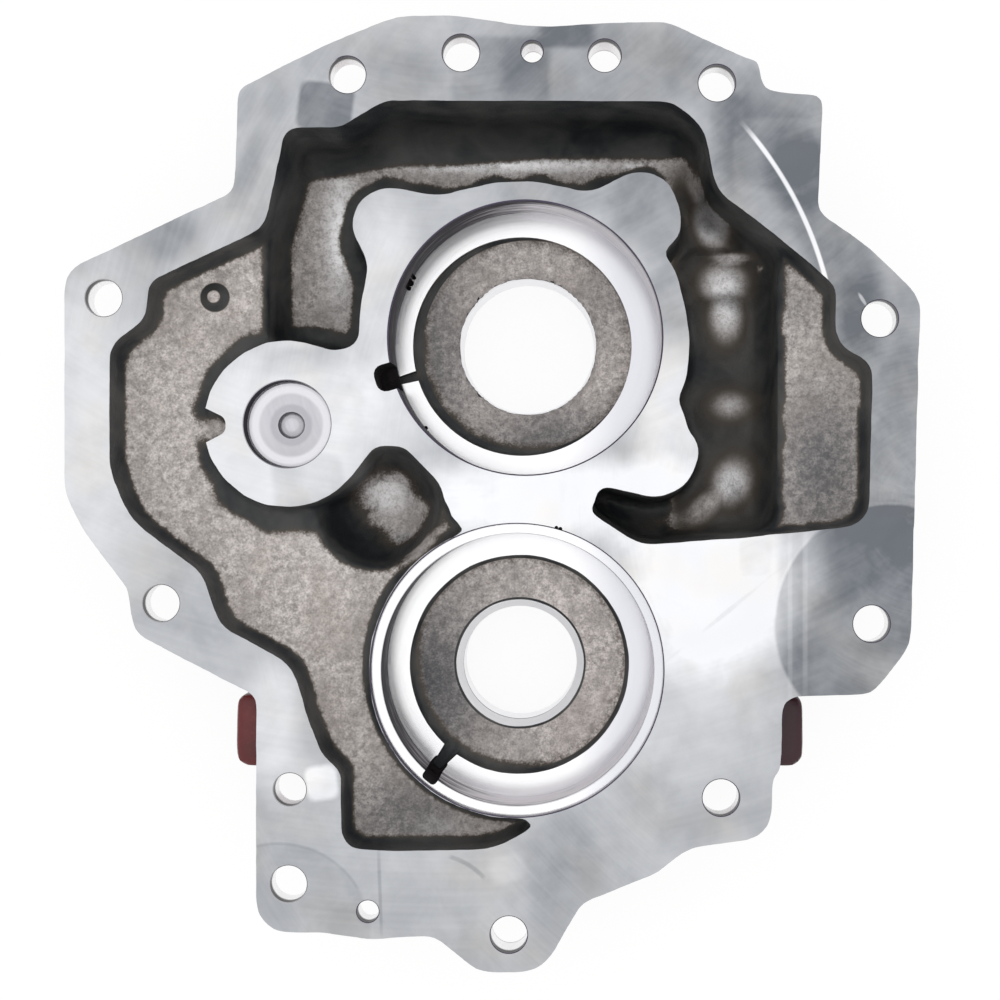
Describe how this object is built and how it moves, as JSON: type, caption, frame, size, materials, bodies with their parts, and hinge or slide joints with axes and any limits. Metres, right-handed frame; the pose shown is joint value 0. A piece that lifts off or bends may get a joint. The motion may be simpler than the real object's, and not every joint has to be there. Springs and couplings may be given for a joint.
{
  "type": "power take-off housing cover",
  "caption": "Cast-iron rear housing cover with bearing seats for a power take-off shaft pair, a blind pilot bore, a gear pocket and a bolting flange.",
  "frame": {"origin": "upper bearing bore axis at the machined mating face", "axes": "+Z out of the mating face, +Y from the lower shaft towards the upper shaft side of the flange, +X to the right when looking at the mating face"},
  "size_m": [0.3129, 0.3499, 0.064],
  "materials": {
    "casting": "milled and bored on the mating side, sand-cast in the pocket, painted red outside"
  },
  "bodies": {
    "root": {"cover_casting": "casting"}
  },
  "joints": []
}
